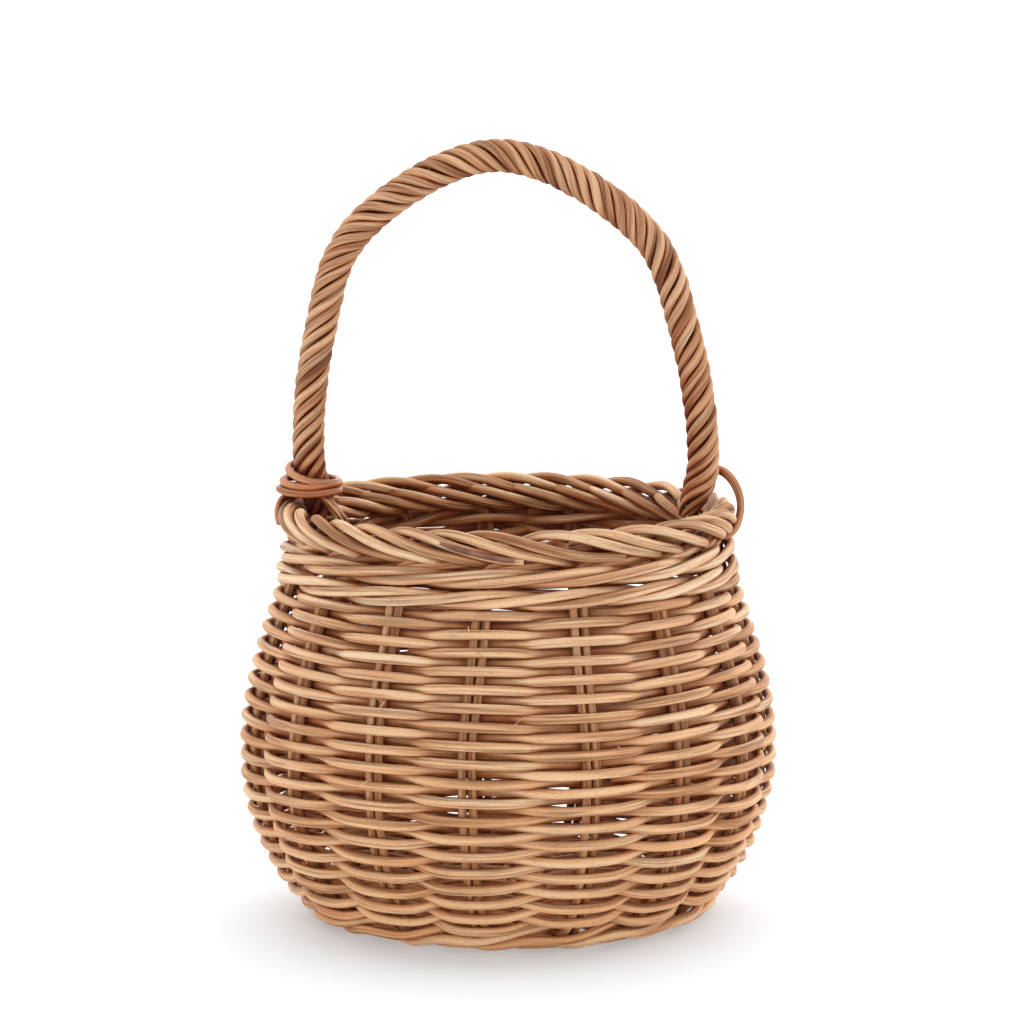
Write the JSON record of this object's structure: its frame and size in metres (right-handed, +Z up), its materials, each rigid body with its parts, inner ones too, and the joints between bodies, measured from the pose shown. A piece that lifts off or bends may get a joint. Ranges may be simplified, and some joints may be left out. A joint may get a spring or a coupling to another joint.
{
  "type": "round wicker basket",
  "caption": "Round wicker basket with a bellied woven wall, a rope border and a fixed arched handle wrapped with twisted rods.",
  "frame": {"origin": "centre of the base, on the surface the basket stands on", "axes": "+Z up along the basket's axis, +X to the right-hand end of the handle, -Y towards the front"},
  "size_m": [0.1994, 0.2004, 0.2868],
  "materials": {
    "stake_wicker": "satin",
    "weave_wicker": "satin",
    "handle_wicker": "satin",
    "lashing_wicker": "satin"
  },
  "bodies": {
    "root": {"stake_rod_01": "stake_wicker", "stake_rod_02": "stake_wicker", "stake_rod_03": "stake_wicker", "stake_rod_04": "stake_wicker", "stake_rod_05": "stake_wicker", "stake_rod_06": "stake_wicker", "stake_rod_07": "stake_wicker", "stake_rod_08": "stake_wicker", "stake_rod_09": "stake_wicker", "stake_rod_10": "stake_wicker", "stake_rod_11": "stake_wicker", "stake_rod_12": "stake_wicker", "stake_rod_13": "stake_wicker", "stake_rod_14": "stake_wicker", "stake_rod_15": "stake_wicker", "base_weaver": "weave_wicker", "bottom_wale_rod_1": "weave_wicker", "bottom_wale_rod_2": "weave_wicker", "bottom_wale_rod_3": "weave_wicker", "top_wale_rod_1": "weave_wicker", "top_wale_rod_2": "weave_wicker", "top_wale_rod_3": "weave_wicker", "wall_weaver_1": "weave_wicker", "wall_weaver_2": "weave_wicker", "wall_weaver_3": "weave_wicker", "wall_weaver_4": "weave_wicker", "wall_weaver_5": "weave_wicker", "wall_weaver_6": "weave_wicker", "wall_weaver_7": "weave_wicker", "wall_weaver_8": "weave_wicker", "handle_core": "handle_wicker", "handle_strand_1": "handle_wicker", "handle_strand_2": "handle_wicker", "handle_strand_3": "handle_wicker", "handle_strand_4": "handle_wicker", "handle_strand_5": "handle_wicker", "handle_strand_6": "handle_wicker", "left_lashing": "lashing_wicker", "right_lashing": "lashing_wicker"}
  },
  "joints": []
}
